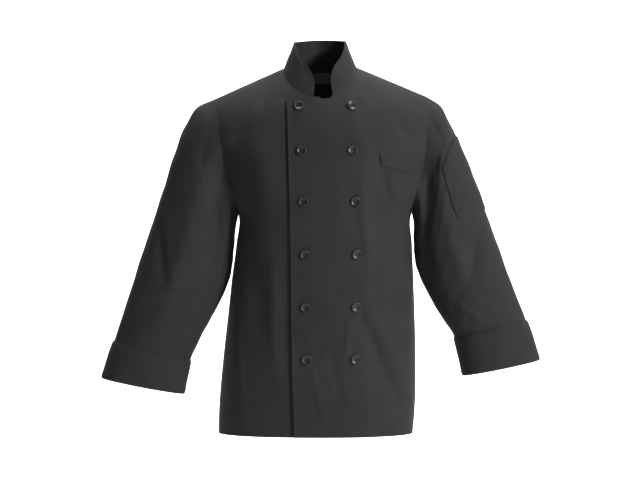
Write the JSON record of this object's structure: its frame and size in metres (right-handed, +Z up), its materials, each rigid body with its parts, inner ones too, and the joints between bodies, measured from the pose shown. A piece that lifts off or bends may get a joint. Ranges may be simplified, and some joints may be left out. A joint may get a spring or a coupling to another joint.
{
  "type": "chef jacket",
  "caption": "A long-sleeved black chef jacket with a stand collar, a double-breasted buttoned front, turned-back cuffs, a breast welt pocket and a sleeve pocket, in its worn hollow form.",
  "frame": {"origin": "At the base of the neck, midway between the two points where the shoulder seams meet the collar, where the wearer's neck and shoulders hold the jacket.", "axes": "+X is the wearer's left, -Y is the front, +Z is up."},
  "size_m": [0.8973, 0.2508, 0.81],
  "materials": {
    "black_cloth": "black polyester-cotton twill, matt with a soft sheen",
    "button_plastic": "black moulded plastic, satin",
    "label_cloth": "woven tape, blue grey"
  },
  "bodies": {
    "root": {"back_panel": "black_cloth", "right_front": "black_cloth", "left_front": "black_cloth", "collar": "black_cloth", "right_sleeve": "black_cloth", "left_sleeve": "black_cloth", "right_cuff": "black_cloth", "left_cuff": "black_cloth", "chest_pocket_welt": "black_cloth", "sleeve_pocket": "black_cloth", "sleeve_label": "label_cloth", "neck_label": "label_cloth", "button_right_1": "button_plastic", "button_left_1": "button_plastic", "button_right_2": "button_plastic", "button_left_2": "button_plastic", "button_right_3": "button_plastic", "button_left_3": "button_plastic", "button_right_4": "button_plastic", "button_left_4": "button_plastic", "button_right_5": "button_plastic", "button_left_5": "button_plastic", "button_right_6": "button_plastic", "button_left_6": "button_plastic"}
  },
  "joints": []
}
